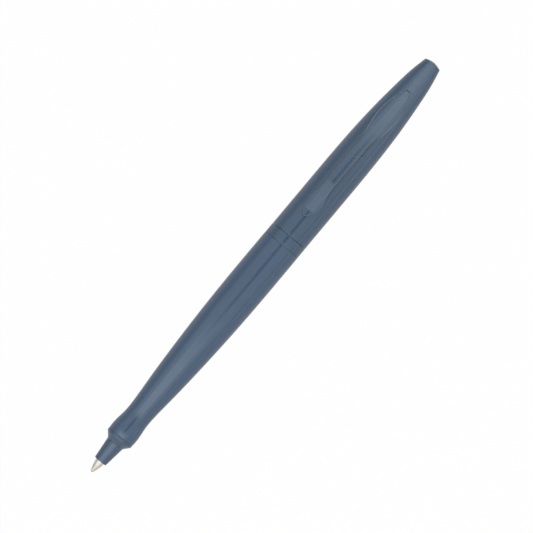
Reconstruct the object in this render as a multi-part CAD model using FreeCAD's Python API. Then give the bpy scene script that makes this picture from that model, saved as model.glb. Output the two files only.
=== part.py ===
# A twist-action ballpoint pen with an inset clip, lying on its back along X.
# Lengths are millimetres. Stations are distances from the writing end, along the pen's axis.
# place() then centres the pen on X and lifts it until its widest ring touches z = 0.
import FreeCAD, Part
import math
import os

# Lengths along the pen, from the writing end to the top end
tip_reach = 3.65
nose_length = 8.45
barrel_length = 65.6
band_width = 2.95
turn_gap = 0.15
cap_length = 59.15

# Radii of the lower barrel, with their distances from its front edge
barrel_front_radius = 3.93
bulge_radius = 3.98
bulge_offset = 1.5
waist_radius = 3.53
waist_offset = 6.9
rise_radius = 4.01
rise_offset = 14.9
swell_radius = 4.80
swell_offset = 27.3
shoulder_radius = 5.31
shoulder_offset = 40.0
belly_radius = 5.51
belly_offset = 57.5
barrel_rear_radius = 5.49

# Nose cone
nose_front_radius = 1.84
nose_taper_radius = 2.52
nose_taper_length = 6.15
nose_rim_radius = 3.91
nose_rim_length = 0.75
nose_foot_fillet = 0.9
nose_spigot_length = 4.0
nose_spigot_wall = 0.6

# Centre band
band_radius = 5.47

# Upper barrel, with distances from its front edge
cap_radius = 5.45
cap_parallel_length = 13.0
cap_mid_radius = 5.21
cap_mid_offset = 33.5
cap_taper_radius = 4.74
cap_taper_offset = 41.7
cap_crown_radius = 3.99
cap_crown_offset = 49.5
cap_brow_radius = 3.53
cap_brow_offset = 53.2
cap_end_radius = 2.46
end_edge_bevel = 0.22
end_dome_height = 0.6
end_dome_radius = 1.4
end_dome_drop = 0.2

# Broken outer edges at the seams
seam_bevel = 0.22
small_bevel = 0.12

# How many spans each curved outline is cut into, and the curvature below which spans grow no longer
curve_samples = 800
point_spans = 5
dome_spans = 3
barrel_spans = 22
barrel_flattest = 0.001
cap_spans = 20
cap_flattest = 0.0004
clip_spans = 5
clip_flattest = 0.0004

# Running and seating clearances, measured on the radius
running_clearance = 0.08
press_clearance = 0.01
seat_clearance = 0.05

# Writing point
ball_radius = 0.35
ball_clearance = 0.015
lip_cover = 0.16
lip_wall = 0.06
seat_cone_length = 0.28
point_radius = 1.40
point_taper_length = 5.2
point_length = 8.2
point_swell = 0.25
shank_radius = 0.95
shank_length = 4.0
feed_radius = 0.2
feed_length = 2.2

# Refill behind the point
holder_radius = 1.5
holder_length = 5.3
holder_spigot_length = 5.0
duct_radius = 0.55
tube_radius = 1.55
tube_bore_radius = 1.15
refill_past_band = 18.35
empty_tube_length = 19.0
follower_length = 3.0
tail_head_length = 1.0
tail_stem_length = 3.0
vent_radius = 0.3
wing_setback = 16.5
wing_length = 1.0
wing_thickness = 1.2

# Return spring round the front of the refill, of square wire
wire_width = 0.36
spring_radius = 2.15
spring_turns = 5
spring_side_gap = 0.3
spring_seat_depth = 0.1

# Twist mechanism
travel = 5.0
twist_angle = 160.0
ear_radius = 1.0
ear_reach = 4.1
ear_setback = 4.0
plunger_radius = 2.5
plunger_grip = 9.0
plunger_head = 3.5
guide_wall = 0.8
guide_skirt_radius = 3.9
guide_skirt_length = 12.0
guide_rear_margin = 2.0
flange_radius = 4.9
flange_thickness = 0.8
sleeve_wall = 0.8
ring_thickness = 0.7
ring_end_wall = 1.1
ring_groove_depth = 0.4
ring_lip = 0.6
ring_mouth_angle = 50.0
mechanism_end_gap = 0.5
lock_setback = 1.0

# Bores and seats in the two barrels
nose_hole_length = 4.35
nose_bore_radius = 1.75
spigot_radius = 4.6
narrow_bore_length = 29.9

# Clip outline seen from above, with half widths at its foot and distances from the upper barrel's front
clip_tip_offset = 6.4
clip_tip_radius = 0.7
clip_tip_angle = 27.0
clip_pad_offset = 10.5
clip_pad_half_width = 2.38
clip_neck_offset = 16.2
clip_neck_half_width = 1.52
clip_leaf_start_offset = 30.7
clip_leaf_offset = 40.2
clip_leaf_half_width = 2.62
clip_taper_offset = 45.1
clip_taper_half_width = 1.9
clip_top_offset = 48.7
clip_top_half_width = 0.65

# Clip sides: how far each part of them leans in for every millimetre of height above the foot
clip_foot_height = 5.55
clip_side_slope = 0.1
clip_pad_slope = 0.8
clip_tip_slope = 1.9
clip_lean_height = 1.7

# Clip heights above the pen's axis, with distances from the upper barrel's front
clip_lip_height = 6.25
clip_pad_front_offset = 8.6
clip_pad_height = 6.2
clip_bend_offset = 18.3
clip_bend_height = 7.0
clip_root_offset = 34.8
clip_root_proud = 0.5
clip_thickness = 1.05
clip_contact_gap = 0.08
clip_contact_length = 3.5
clip_lip_lift = 0.45

# Clip seat in the upper barrel
recess_clearance = 0.12
stem_offset = 38.2
stem_length = 4.0
stem_width = 2.4
stem_depth = 3.2
lock_radius = 2.6
lock_length = 15.0

# Stations worked out from the lengths above
nose_front = tip_reach
barrel_front = nose_front + nose_length
barrel_rear = barrel_front + barrel_length
band_rear = barrel_rear + band_width
cap_front = band_rear + turn_gap
overall_length = cap_front + cap_length
axis_height = belly_radius

flange_front = band_rear - flange_thickness
refill_length = band_rear + refill_past_band
ink_end = refill_length - empty_tube_length
point_hole_radius = point_radius + seat_clearance
spring_outer_radius = spring_radius + wire_width / 2
spring_bore_radius = spring_outer_radius + 2 * running_clearance
nose_spigot_radius = spring_bore_radius + nose_spigot_wall
barrel_bore_radius = spring_outer_radius + spring_side_gap
spring_seat = barrel_front - spring_seat_depth
holder_rear = point_length + holder_length
wing_station = holder_rear + wing_setback

ear_station = refill_length - ear_setback
plunger_front = refill_length - plunger_grip
plunger_rear = refill_length + plunger_head
guide_bore_radius = plunger_radius + running_clearance
guide_radius = guide_bore_radius + guide_wall
guide_rear = plunger_rear + travel + guide_rear_margin
sleeve_bore_radius = guide_radius + running_clearance
sleeve_radius = sleeve_bore_radius + sleeve_wall
ring_rear = guide_rear - ring_end_wall
ring_front = ring_rear - ring_thickness
sleeve_rear = ring_front - running_clearance
mechanism_bore_end = guide_rear + mechanism_end_gap
lock_front = mechanism_bore_end + lock_setback
lock_rear = lock_front + lock_length
wide_bore_start = barrel_front + narrow_bore_length

clip_tip_station = cap_front + clip_tip_offset
clip_pad_station = cap_front + clip_pad_offset
clip_neck_station = cap_front + clip_neck_offset
clip_leaf_start = cap_front + clip_leaf_start_offset
clip_leaf_station = cap_front + clip_leaf_offset
clip_taper_station = cap_front + clip_taper_offset
clip_top_station = cap_front + clip_top_offset
clip_pad_front_station = cap_front + clip_pad_front_offset
clip_bend_station = cap_front + clip_bend_offset
clip_root_station = cap_front + clip_root_offset
stem_station = cap_front + stem_offset

V = FreeCAD.Vector
AXIS = V(1, 0, 0)
ORIGIN = V(0, 0, 0)


def place(shape):
    """Moves a piece from stations along X to the pen's frame."""
    shape.translate(V(-overall_length / 2, 0, axis_height))
    return shape


def point(station, radius):
    return V(station, radius, 0)


def line(start, end):
    return Part.makeLine(point(*start), point(*end))


def curve(points, level_at=()):
    """A smooth curve through (station, radius) points, parallel to the axis at the numbered ones."""
    spline = Part.BSplineCurve()
    flags = [number in level_at for number in range(len(points))]
    spline.interpolate(
        Points=[point(*p) for p in points],
        Tangents=[AXIS for p in points],
        TangentFlags=flags,
    )
    return spline


def spans(spline, count, flattest=0.0):
    """The curve as a chain of edges, shorter where it bends more, so that no face is long and curved."""
    first, last = spline.FirstParameter, spline.LastParameter
    steps = [first + (last - first) * i / curve_samples for i in range(curve_samples + 1)]
    bend = [math.sqrt(spline.curvature(u) + flattest) for u in steps]
    pace = [spline.value(a).distanceToPoint(spline.value(b)) for a, b in zip(steps, steps[1:])]
    reached = [0.0]
    for i, length in enumerate(pace):
        reached.append(reached[-1] + length * (bend[i] + bend[i + 1]) / 2)
    cuts = [first]
    for number in range(1, count):
        goal = reached[-1] * number / count
        i = max(k for k, value in enumerate(reached) if value <= goal)
        share = (goal - reached[i]) / (reached[i + 1] - reached[i])
        cuts.append(steps[i] + share * (steps[i + 1] - steps[i]))
    cuts.append(last)
    return [spline.toShape(a, b) for a, b in zip(cuts, cuts[1:])]


def turned(edges):
    """The solid swept when a closed half section turns once about the pen's axis."""
    return Part.Face(Part.Wire(edges)).revolve(ORIGIN, AXIS, 360)


def seam_under_clip(shape):
    """A round piece turned so that the seam of its faces is in line with the clip."""
    return shape.rotate(ORIGIN, AXIS, 90)


def lathe(corners):
    """A turned solid from (station, radius) corners joined by straight lines."""
    loop = corners + corners[:1]
    return turned([line(a, b) for a, b in zip(loop, loop[1:])])


def rod(start, end, radius):
    return Part.makeCylinder(radius, end - start, V(start, 0, 0), AXIS)


def tube(start, end, bore, radius):
    return lathe([(start, bore), (end, bore), (end, radius), (start, radius)])


def rim_edges(shape, station, radius):
    """The round edges of a turned solid that lie at one station and radius."""
    found = []
    for edge in shape.Edges:
        box = edge.BoundBox
        flat = box.XLength < 1e-4 and abs(box.XMin - station) < 1e-3
        if flat and abs(box.YMax - radius) < 1e-3 and box.YLength > radius:
            found.append(edge)
    return found


def round_rim(shape, station, radius, fillet):
    return shape.makeFillet(fillet, rim_edges(shape, station, radius))


def bevel_rim(shape, station, radius, width):
    return shape.makeChamfer(width, rim_edges(shape, station, radius))


def make_writing_ball():
    return Part.makeSphere(ball_radius, V(ball_radius, 0, 0))


def make_writing_tip():
    """The metal point: a convex cone, a shank and the cup that holds the ball."""
    cup_radius = ball_radius + ball_clearance
    lip_station = ball_radius - lip_cover
    mouth_radius = math.sqrt(cup_radius**2 - lip_cover**2)
    lip_radius = mouth_radius + lip_wall
    middle = (
        (lip_station + point_taper_length) / 2,
        (lip_radius + point_radius) / 2 + point_swell,
    )
    ogive = curve([(lip_station, lip_radius), middle, (point_taper_length, point_radius)])
    shank_end = point_length + shank_length
    seat_front = ball_radius + seat_cone_length / 2
    seat_rear = seat_front + seat_cone_length
    corners = [
        (point_taper_length, point_radius),
        (point_length, point_radius),
        (point_length, shank_radius),
        (shank_end, shank_radius),
        (shank_end, duct_radius),
        (feed_length, duct_radius),
        (feed_length, feed_radius),
        (seat_rear, feed_radius),
        (seat_front, cup_radius),
        (ball_radius, cup_radius),
        (lip_station, mouth_radius),
        (lip_station, lip_radius),
    ]
    inside = [line(a, b) for a, b in zip(corners, corners[1:])]
    return turned(spans(ogive, point_spans) + inside)


def make_tip_holder():
    """The plug that joins the metal point to the ink tube."""
    shank_end = point_length + shank_length
    return lathe(
        [
            (point_length, shank_radius),
            (shank_end, shank_radius),
            (shank_end, duct_radius),
            (holder_rear + holder_spigot_length, duct_radius),
            (holder_rear + holder_spigot_length, tube_bore_radius - press_clearance),
            (holder_rear, tube_bore_radius - press_clearance),
            (holder_rear, holder_radius),
            (point_length, holder_radius),
        ]
    )


def make_refill_tube():
    """The ink tube, with two pinched wings that the spring pushes on."""
    tail = refill_length - tail_head_length
    body = tube(holder_rear, tail, tube_bore_radius, tube_radius)
    wing_reach = spring_outer_radius
    wings = rod(wing_station, wing_station + wing_length, wing_reach)
    slab = Part.makeBox(
        wing_length, 2 * wing_reach, wing_thickness, V(wing_station, -wing_reach, -wing_thickness / 2)
    )
    bore = rod(holder_rear, tail, tube_bore_radius)
    return body.fuse(wings.common(slab)).cut(bore).removeSplitter()


def make_ink_column():
    start = holder_rear + holder_spigot_length
    return rod(start, ink_end, tube_bore_radius - press_clearance)


def make_ink_follower():
    """The grease that follows the ink down its tube."""
    return rod(ink_end, ink_end + follower_length, tube_bore_radius - press_clearance)


def make_tail_plug():
    """The vented plug that closes the back of the refill."""
    head = refill_length - tail_head_length
    return lathe(
        [
            (head - tail_stem_length, vent_radius),
            (refill_length, vent_radius),
            (refill_length, tube_radius),
            (head, tube_radius),
            (head, tube_bore_radius - press_clearance),
            (head - tail_stem_length, tube_bore_radius - press_clearance),
        ]
    )


def make_return_spring():
    """A square-wire spring between the nose cone's seat and the refill's wings."""
    half = wire_width / 2
    start = spring_seat + half
    length = wing_station - half - start
    helix = Part.makeHelix(length / spring_turns, length, spring_radius)
    inner, outer = spring_radius - half, spring_radius + half
    corners = [
        V(inner, 0, -half),
        V(outer, 0, -half),
        V(outer, 0, half),
        V(inner, 0, half),
        V(inner, 0, -half),
    ]
    coil = Part.Wire(helix.Edges).makePipeShell([Part.makePolygon(corners)], True, True)
    coil.rotate(ORIGIN, V(0, 1, 0), 90)
    coil.translate(V(start, 0, 0))
    return coil


def make_nose_cone():
    """The screw-in front end, with the point's hole, the spring's seat and a spigot."""
    rim_front = barrel_front - nose_rim_length
    taper_end = nose_front + nose_taper_length
    spigot_rear = barrel_front + nose_spigot_length
    hole_end = nose_front + nose_hole_length
    body = lathe(
        [
            (nose_front, point_hole_radius),
            (nose_front, nose_front_radius),
            (taper_end, nose_taper_radius),
            (rim_front, nose_rim_radius),
            (barrel_front, nose_rim_radius),
            (barrel_front, nose_spigot_radius),
            (spigot_rear, nose_spigot_radius),
            (spigot_rear, spring_bore_radius),
            (spring_seat, spring_bore_radius),
            (spring_seat, nose_bore_radius),
            (hole_end, nose_bore_radius),
            (hole_end, point_hole_radius),
        ]
    )
    body = round_rim(body, taper_end, nose_taper_radius, nose_foot_fillet)
    body = bevel_rim(body, rim_front, nose_rim_radius, seam_bevel)
    return bevel_rim(body, nose_front, nose_front_radius, seam_bevel)


def make_lower_barrel():
    """The grip and body, with seats for the nose cone, the mechanism and the centre band."""
    outline = curve(
        [
            (barrel_front, barrel_front_radius),
            (barrel_front + bulge_offset, bulge_radius),
            (barrel_front + waist_offset, waist_radius),
            (barrel_front + rise_offset, rise_radius),
            (barrel_front + swell_offset, swell_radius),
            (barrel_front + shoulder_offset, shoulder_radius),
            (barrel_front + belly_offset, belly_radius),
            (barrel_rear, barrel_rear_radius),
        ],
        level_at=(1, 2, 6),
    )
    nose_seat_radius = nose_spigot_radius + seat_clearance
    nose_seat_end = barrel_front + nose_spigot_length + seat_clearance
    corners = [
        (barrel_rear, barrel_rear_radius),
        (barrel_rear, spigot_radius),
        (flange_front, spigot_radius),
        (flange_front, guide_skirt_radius + press_clearance),
        (wide_bore_start, guide_skirt_radius + press_clearance),
        (wide_bore_start, barrel_bore_radius),
        (nose_seat_end, barrel_bore_radius),
        (nose_seat_end, nose_seat_radius),
        (barrel_front, nose_seat_radius),
        (barrel_front, barrel_front_radius),
    ]
    inside = [line(a, b) for a, b in zip(corners, corners[1:])]
    body = turned(spans(outline, barrel_spans, barrel_flattest) + inside)
    body = bevel_rim(body, barrel_front, barrel_front_radius, seam_bevel)
    return seam_under_clip(bevel_rim(body, barrel_rear, barrel_rear_radius, seam_bevel))


def make_centre_band():
    """The plain ring between the two barrels, held on its spigot by the guide tube's flange."""
    bore = spigot_radius + seat_clearance
    rabbet = flange_radius + seat_clearance
    body = lathe(
        [
            (barrel_rear, bore),
            (flange_front, bore),
            (flange_front, rabbet),
            (band_rear, rabbet),
            (band_rear, band_radius),
            (barrel_rear, band_radius),
        ]
    )
    return bevel_rim(body, band_rear, band_radius, small_bevel)


def straight_slot(start, end, half_width, reach):
    """A cutter for one straight slot with round ends that crosses the pen along Y."""
    ends = [
        Part.makeCylinder(half_width, 2 * reach, V(x, -reach, 0), V(0, 1, 0)) for x in (start, end)
    ]
    middle = Part.makeBox(end - start, 2 * reach, 2 * half_width, V(start, -reach, -half_width))
    return middle.fuse(ends)


def make_guide_tube():
    """The fixed half of the mechanism: it keeps the plunger's ears in two straight slots."""
    skirt_front = flange_front - guide_skirt_length
    body = lathe(
        [
            (skirt_front, guide_bore_radius),
            (guide_rear, guide_bore_radius),
            (guide_rear, guide_radius),
            (ring_rear, guide_radius),
            (ring_rear, guide_radius - ring_groove_depth),
            (ring_front, guide_radius - ring_groove_depth),
            (ring_front, guide_radius),
            (band_rear, guide_radius),
            (band_rear, flange_radius),
            (flange_front, flange_radius),
            (flange_front, guide_skirt_radius),
            (skirt_front, guide_skirt_radius),
        ]
    )
    half_width = ear_radius + running_clearance
    slots = straight_slot(ear_station, ear_station + travel, half_width, flange_radius)
    return body.cut(slots)


def make_retaining_ring():
    """A split snap ring that keeps the cam sleeve on the guide tube."""
    groove_radius = guide_radius - ring_groove_depth
    body = tube(
        ring_front + press_clearance,
        ring_rear - press_clearance,
        groove_radius + press_clearance,
        guide_radius + ring_lip,
    )
    half_angle = math.radians(ring_mouth_angle / 2)
    reach = 2 * sleeve_radius
    mouth = Part.makePolygon(
        [
            V(ring_front, 0, 0),
            V(ring_front, -reach * math.sin(half_angle), reach * math.cos(half_angle)),
            V(ring_front, reach * math.sin(half_angle), reach * math.cos(half_angle)),
            V(ring_front, 0, 0),
        ]
    )
    return body.cut(Part.Face(mouth).extrude(V(ring_thickness, 0, 0)))


def helical_slot(start_angle):
    """A cutter for one cam slot, swept by the ear as the cap turns through its whole angle."""
    lead = travel * 360 / twist_angle
    slope = math.atan(travel / math.radians(twist_angle) / sleeve_bore_radius)
    half_width = ear_radius + running_clearance
    half_height = half_width / math.cos(slope)
    inner = sleeve_bore_radius - guide_wall / 2
    outer = sleeve_radius + guide_wall / 2
    helix = Part.makeHelix(lead, travel, sleeve_radius)
    corners = [
        V(inner, 0, -half_height),
        V(outer, 0, -half_height),
        V(outer, 0, half_height),
        V(inner, 0, half_height),
        V(inner, 0, -half_height),
    ]
    run = Part.Wire(helix.Edges).makePipeShell([Part.makePolygon(corners)], True, True)
    ends = []
    for share in (0, 1):
        end = Part.makeCylinder(half_width, outer - inner, V(inner, 0, 0), V(1, 0, 0))
        end.rotate(ORIGIN, V(0, 0, 1), share * twist_angle)
        end.translate(V(0, 0, share * travel))
        ends.append(end)
    slot = run.fuse(ends)
    slot = slot.mirror(ORIGIN, V(0, 1, 0))
    slot.rotate(ORIGIN, V(0, 1, 0), 90)
    slot.rotate(ORIGIN, AXIS, start_angle)
    slot.translate(V(ear_station, 0, 0))
    return slot


def make_cam_sleeve():
    """The turning half of the mechanism: its two helical slots push the plunger's ears."""
    body = tube(cap_front, sleeve_rear, sleeve_bore_radius, sleeve_radius)
    return body.cut([helical_slot(angle) for angle in (90, 270)])


def make_plunger():
    """The cup on the refill's tail, with two round ears that follow the cam."""
    grip_radius = tube_radius + seat_clearance
    body = lathe(
        [
            (plunger_front, grip_radius),
            (refill_length, grip_radius),
            (refill_length, 0),
            (plunger_rear, 0),
            (plunger_rear, plunger_radius),
            (plunger_front, plunger_radius),
        ]
    )
    ears = Part.makeCylinder(ear_radius, 2 * ear_reach, V(ear_station, -ear_reach, 0), V(0, 1, 0))
    bore = rod(plunger_front, refill_length, grip_radius)
    return body.fuse(ears).cut(bore)


def cap_outline_points():
    return [
        (cap_front + cap_parallel_length, cap_radius),
        (cap_front + cap_mid_offset, cap_mid_radius),
        (cap_front + cap_taper_offset, cap_taper_radius),
        (cap_front + cap_crown_offset, cap_crown_radius),
        (cap_front + cap_brow_offset, cap_brow_radius),
        (overall_length - end_dome_height, cap_end_radius),
    ]


def cap_form():
    """The upper barrel's outer form: a long ogive that ends in a low dome."""
    points = cap_outline_points()
    outline = curve(points, level_at=(0,))
    front = (cap_front, cap_radius)
    corner = points[-1]
    crown = (overall_length - end_dome_drop, end_dome_radius)
    apex = (overall_length, 0)
    body = turned(
        [line(front, points[0])]
        + spans(outline, cap_spans, cap_flattest)
        + spans(curve([corner, crown, apex]), dome_spans)
        + [line(apex, (cap_front, 0)), line((cap_front, 0), front)]
    )
    return seam_under_clip(bevel_rim(body, *corner, end_edge_bevel))


def cap_radius_at(station):
    """The radius of the upper barrel's outline at a station."""
    outline = curve(cap_outline_points(), level_at=(0,))
    cross = Part.makeLine(point(station, 0), point(station, 2 * cap_radius))
    return outline.toShape().distToShape(cross)[1][0][0].y


def clip_side(grow, height):
    """One side of the clip's outline as an edge, grown outward, at a height above its foot."""
    lean = clip_side_slope * height
    pad_lean = clip_pad_slope * height
    tip_angle = math.radians(clip_tip_angle)
    tip_radius = clip_tip_radius + grow - lean
    tip_middle = clip_tip_station + clip_tip_radius + clip_tip_slope * height
    start = V(tip_middle - tip_radius * math.sin(tip_angle), tip_radius * math.cos(tip_angle), 0)
    pad = V(clip_pad_station, clip_pad_half_width + grow - pad_lean, 0)
    points = [
        start,
        pad,
        V(clip_neck_station, clip_neck_half_width + grow - lean, 0),
        V(clip_leaf_start, clip_neck_half_width + grow - lean, 0),
        V(clip_leaf_station, clip_leaf_half_width + grow - lean, 0),
        V(clip_taper_station, clip_taper_half_width + grow - lean, 0),
        V(clip_top_station + grow, clip_top_half_width + grow - lean, 0),
    ]
    spline = Part.BSplineCurve()
    spline.interpolate(
        Points=points,
        Tangents=[V(math.cos(tip_angle), math.sin(tip_angle), 0)] + [AXIS] * (len(points) - 1),
        TangentFlags=[True, True, True, True, True, False, False],
    )
    tip = V(tip_middle - tip_radius, 0, 0)
    return spline, tip


def clip_section(grow, height):
    """The clip's closed outline at a height above its foot."""
    spline, tip = clip_side(grow, height)
    side = spline.toShape()
    other = side.mirror(ORIGIN, V(0, 1, 0))
    start = spline.value(spline.FirstParameter)
    end = spline.value(spline.LastParameter)
    nose = Part.Arc(V(start.x, -start.y, 0), tip, start).toShape()
    top = Part.makeLine(end, V(end.x, -end.y, 0))
    section = Part.Wire(Part.__sortEdges__([side, top, other, nose]))
    section.translate(V(0, 0, clip_foot_height + height))
    return section


def clip_top_outline():
    """The clip's upper edges seen from the side: lip, pad, arm and leaf."""
    lip = (clip_tip_station - clip_tip_radius, clip_lip_height)
    pad = (clip_pad_front_station, clip_pad_height)
    bend = (clip_bend_station, clip_bend_height)
    root = (clip_root_station, cap_radius_at(clip_root_station) + clip_root_proud)
    top = (clip_top_station + recess_clearance, cap_radius_at(clip_top_station))
    return lip, pad, bend, root, top


def clip_upper_form():
    """A turned solid whose surface is the clip's upper side."""
    lip, pad, bend, root, top = clip_top_outline()
    return turned(
        [line((lip[0], 0), lip), line(lip, pad), line(pad, bend)]
        + spans(curve([bend, root, top]), clip_spans, clip_flattest)
        + [line(top, (top[0], 0)), line((top[0], 0), (lip[0], 0))]
    )


def clip_lower_form(drop=0.0):
    """A turned solid whose surface is the clip's underside, or lies a little below it."""
    lip, pad, bend, root, top = clip_top_outline()
    down = clip_thickness + drop
    contact = cap_radius + clip_contact_gap - drop
    lip_low = (lip[0], contact + clip_lip_lift)
    contact_front = (pad[0], contact)
    contact_rear = (pad[0] + clip_contact_length, contact)
    arm, heel, end = [(p[0], p[1] - down) for p in (bend, root, top)]
    return turned(
        [
            line((lip[0], 0), lip_low),
            line(lip_low, contact_front),
            line(contact_front, contact_rear),
            line(contact_rear, arm),
        ]
        + spans(curve([arm, heel, end]), clip_spans, clip_flattest)
        + [line(end, (end[0], 0)), line((end[0], 0), (lip[0], 0))]
    )


def clip_prism(grow=0.0):
    """The clip's outline carried upward: upright sides below its foot, leaning sides above."""
    foot = clip_section(grow, 0)
    below = Part.Face(foot).extrude(V(0, 0, -clip_foot_height))
    above = Part.makeLoft([foot, clip_section(grow, clip_lean_height)], True, True)
    return below.fuse(above)


def clip_stem(clearance=0.0):
    """The leg that locks the clip, or the hole that takes it."""
    foot = cap_radius_at(stem_station) - clip_thickness
    length = stem_length + 2 * clearance
    width = stem_width + 2 * clearance
    depth = stem_depth + clearance
    corner = V(stem_station - length / 2, -width / 2, foot - depth)
    return Part.makeBox(length, width, depth + clip_thickness / 2, corner)


def make_clip():
    """The sprung arm with its pad and its leaf, which lies in the upper barrel's recess."""
    blade = clip_prism().common(clip_upper_form()).cut(clip_lower_form())
    return blade.fuse(clip_stem()).removeSplitter()


def make_upper_barrel():
    """The turning half, bored for the mechanism and recessed for the clip's leaf."""
    body = cap_form()
    mechanism_bore = rod(cap_front, mechanism_bore_end, sleeve_radius + press_clearance)
    lock_bore = rod(mechanism_bore_end, lock_rear, lock_radius + press_clearance)
    behind_bend = Part.makeBox(
        overall_length - clip_bend_station,
        4 * cap_radius,
        2 * cap_radius,
        V(clip_bend_station, -2 * cap_radius, 0),
    )
    recess = clip_prism(recess_clearance).common(behind_bend).cut(clip_lower_form(seat_clearance))
    body = body.cut([mechanism_bore, lock_bore, recess, clip_stem(seat_clearance)])
    return bevel_rim(body, cap_front, cap_radius, small_bevel)


def make_clip_lock():
    """The plug inside the upper barrel that grips the clip's stem."""
    body = rod(lock_front, lock_rear, lock_radius)
    return body.cut(clip_stem(seat_clearance))


PIECES = {
    "writing_ball": make_writing_ball,
    "writing_tip": make_writing_tip,
    "tip_holder": make_tip_holder,
    "refill_tube": make_refill_tube,
    "ink_column": make_ink_column,
    "ink_follower": make_ink_follower,
    "tail_plug": make_tail_plug,
    "plunger": make_plunger,
    "nose_cone": make_nose_cone,
    "lower_barrel": make_lower_barrel,
    "return_spring": make_return_spring,
    "centre_band": make_centre_band,
    "guide_tube": make_guide_tube,
    "retaining_ring": make_retaining_ring,
    "cam_sleeve": make_cam_sleeve,
    "upper_barrel": make_upper_barrel,
    "clip": make_clip,
    "clip_lock": make_clip_lock,
}

os.makedirs("parts", exist_ok=True)
for name, make in PIECES.items():
    place(make()).exportStep(f"parts/{name}.step")
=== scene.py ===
"""A slate-blue twist-action ballpoint pen, lying on a white table with its clip up."""
import math

import bmesh
import bpy
from mathutils import Matrix, Vector


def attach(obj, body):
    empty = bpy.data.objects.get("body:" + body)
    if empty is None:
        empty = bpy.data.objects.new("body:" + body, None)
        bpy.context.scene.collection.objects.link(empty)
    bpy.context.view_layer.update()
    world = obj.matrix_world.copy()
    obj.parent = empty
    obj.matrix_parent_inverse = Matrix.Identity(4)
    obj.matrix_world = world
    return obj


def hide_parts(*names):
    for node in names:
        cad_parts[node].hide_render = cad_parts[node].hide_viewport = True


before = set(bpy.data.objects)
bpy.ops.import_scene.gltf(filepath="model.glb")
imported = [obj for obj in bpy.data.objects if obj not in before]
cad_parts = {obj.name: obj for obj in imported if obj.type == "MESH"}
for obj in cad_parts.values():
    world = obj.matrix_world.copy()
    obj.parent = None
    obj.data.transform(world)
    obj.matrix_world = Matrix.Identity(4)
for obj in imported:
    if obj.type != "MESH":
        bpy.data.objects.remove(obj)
bpy.context.view_layer.update()

# sizes, in millimetres
# Stations are distances from the writing end, along the pen's axis.
# Outlines and corners are (station, radius) points, and rounds go by the number of a corner.
PER_METRE = 1000
OVERALL = 139.95
AXIS_HEIGHT = 5.51

# The plastic pieces are drawn this much nearer the axis than their outlines say.
SKIN = 0.01

# Turned pieces have this many sides, and an edge sharper than this angle stays crisp.
SEGMENTS = 192
EDGE_ANGLE = math.radians(30)
WELD_METRES = 2e-7

# grip and body
BARREL_OUTLINE = [
    (12.1, 3.93), (13.6, 3.98), (19.0, 3.53), (27.0, 4.01), (39.4, 4.80),
    (52.1, 5.31), (69.6, 5.51), (77.7, 5.49),
]
BARREL_INSIDE = [
    (77.7, 4.6), (79.85, 4.6), (79.85, 3.91), (42.0, 3.91), (42.0, 2.63),
    (16.15, 2.63), (16.15, 3.14), (12.1, 3.14),
]
BARREL_PITCH = 0.55
BARREL_FRONT_ROUND = 0.13
BARREL_REAR_ROUND = 0.16

# front cone
NOSE_CORNERS = [
    (3.65, 1.45), (3.65, 1.84), (9.8, 2.52), (11.35, 3.91), (12.1, 3.91), (12.1, 3.09),
    (16.1, 3.09), (16.1, 2.49), (12.0, 2.49), (12.0, 1.75), (8.0, 1.75), (8.0, 1.45),
]
NOSE_ROUNDS = {1: 0.08, 2: 1.1, 3: 0.18, 4: 0.05}
NOSE_ROUND_PARTS = 10

# centre band
BAND_CORNERS = [
    (77.72, 4.65), (77.72, 5.47), (80.65, 5.47), (80.65, 4.95), (79.85, 4.95), (79.85, 4.65),
]
BAND_ROUNDS = {1: 0.05, 2: 0.09}

# metal point
POINT_OUTLINE = [(0.19, 0.388), (2.695, 1.144), (5.2, 1.40)]
POINT_SHANK = [(8.2, 1.40), (8.2, 0.95), (12.2, 0.95), (12.2, 0.55)]
POINT_INSIDE = [(2.2, 0.55), (2.2, 0.2), (0.77, 0.2), (0.49, 0.365), (0.35, 0.365), (0.19, 0.328)]
POINT_PITCH = 0.2
POINT_SEGMENTS = 96

# upper barrel
CAP_FRONT = 80.71
CAP_END = 139.35
CAP_BORE = 4.27
CAP_OUTLINE = [
    (93.8, 5.45), (114.3, 5.21), (122.5, 4.74), (130.3, 3.99), (134.0, 3.53), (CAP_END, 2.46),
]
CAP_HOLLOW = [(126.0, 0.01), (126.0, 2.61), (110.0, 2.61), (110.0, CAP_BORE), (CAP_FRONT, CAP_BORE)]
CAP_FRONT_ROUND = 0.1
CAP_END_ROUND = 0.15
CAP_SEGMENTS = 150

# The outside is cut into rings at these stations and pitches.
EVEN_START = 82.0
EVEN_END = 93.0
EVEN_PITCH = 1.0
TAPER_START = 93.4
TAPER_PITCH = 0.6
RECESS_PITCH = 0.3
TAIL_PITCH = 0.5

# The dome's points are (radius, station).
DOME = [(0.0, OVERALL), (1.4, 139.75), (CAP_OUTLINE[-1][1], CAP_END)]
DOME_PITCH = 0.2
SMALLEST_RADIUS = 0.01

# clip
CLIP_FOOT = 5.55
CLIP_LEAN_HEIGHT = 1.7
CLIP_TIP = 86.6
CLIP_TIP_RADIUS = 0.7
CLIP_TIP_ANGLE = math.radians(27.0)
CLIP_TIP_PARTS = 8
CLIP_BEND = 99.1
CLIP_ROOT = 115.6
CLIP_END = 129.5
CLIP_HEIGHT = 7.0
CLIP_THICKNESS = 1.05
CLIP_SIDE = [91.3, 97.0, 111.5, 121.0, 125.9, CLIP_END]
CLIP_HALF_WIDTHS = [2.38, 1.52, 1.52, 2.62, 1.9, 0.65]
CLIP_SPAN_PARTS = [22, 24, 20, 34, 22, 16]

# The sides lean inward by these shares of the height above the foot.
PAD_LEAN = 0.8
SIDE_LEAN = 0.1
TIP_LEAN = 1.9

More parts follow.
